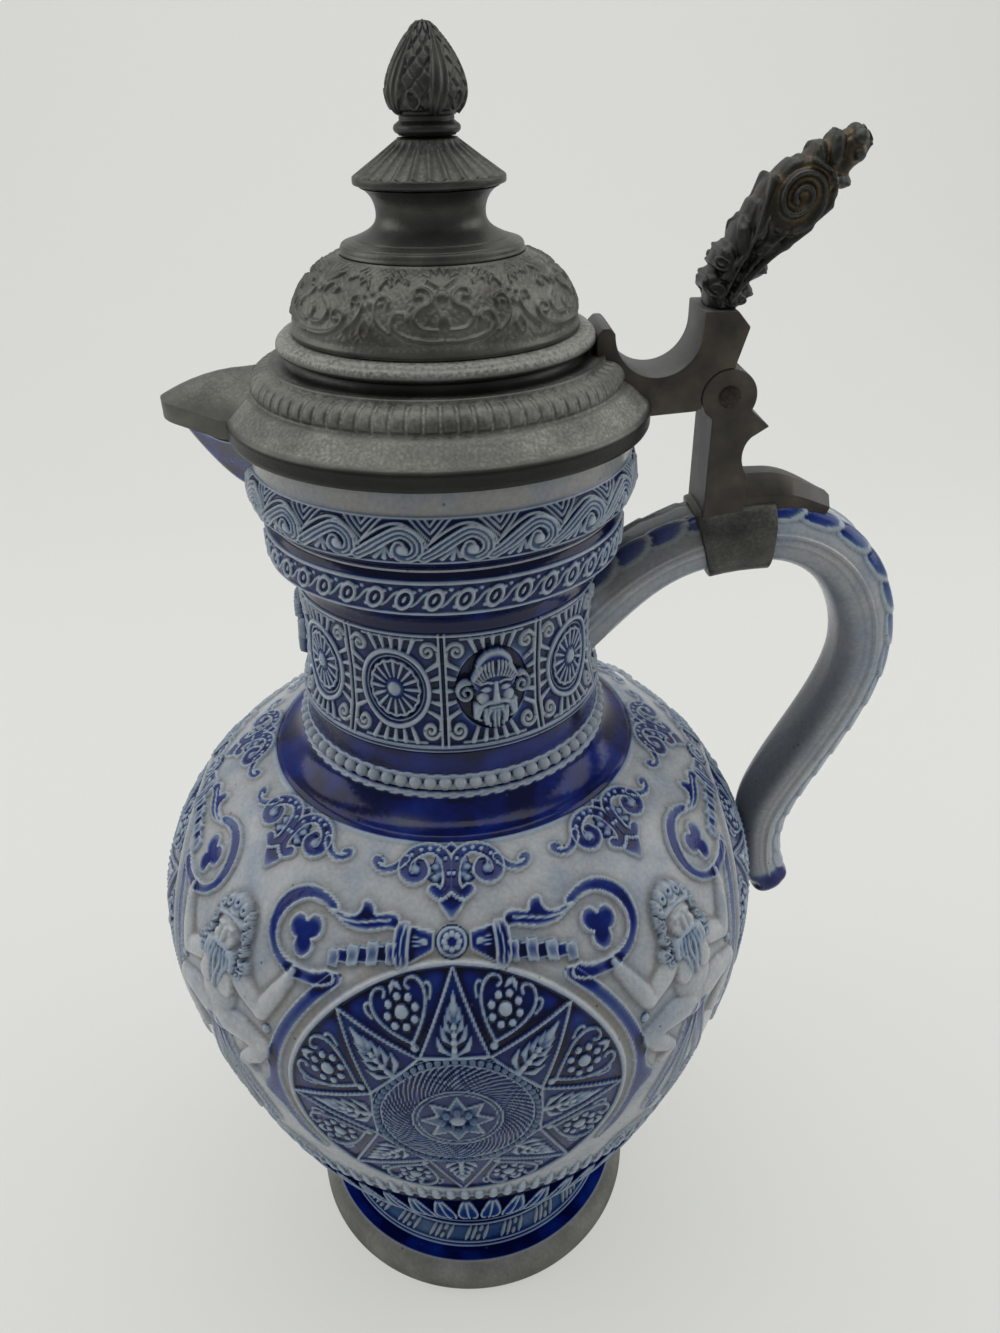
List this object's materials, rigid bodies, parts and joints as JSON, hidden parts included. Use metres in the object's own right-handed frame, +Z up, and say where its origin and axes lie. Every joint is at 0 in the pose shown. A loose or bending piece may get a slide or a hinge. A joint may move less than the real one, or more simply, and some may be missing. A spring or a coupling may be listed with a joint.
{
  "type": "lidded stoneware jug",
  "caption": "Tall salt-glazed stoneware jug with moulded relief, pouring lip and loop handle, closed by a hinged pewter lid with spout cover, thumb lift and bud finial.",
  "frame": {"origin": "centre of the flat underside of the foot, on the turning axis of the body", "axes": "+Z up along the turning axis; +X towards the handle and lid hinge; -X towards the pouring lip"},
  "size_m": [0.2301, 0.194, 0.4017],
  "materials": {
    "stoneware": "grey salt glaze with cobalt blue in the recesses of moulded relief",
    "pewter": "cast and turned pewter, dark oxidised skin with paler worn edges",
    "pin_steel": "blackened steel pin with hammered heads"
  },
  "bodies": {
    "jug": {"stoneware_body": "stoneware", "pouring_lip": "stoneware", "stoneware_handle": "stoneware", "handle_strap": "pewter", "hinge_post": "pewter", "hinge_pin": "pin_steel"},
    "lid": {"lid_ring": "pewter", "lid_dome": "pewter", "finial_pedestal": "pewter", "fluted_collar": "pewter", "finial_bud": "pewter", "spout_cover": "pewter", "lid_arm": "pewter", "thumblift": "pewter"}
  },
  "joints": [
    {"name": "lid_hinge", "type": "hinge", "parent": "jug", "child": "lid", "pos_m": [0.0745, 0, 0.3185], "axis": [0, 1, 0], "range_deg": [0, 100]}
  ]
}
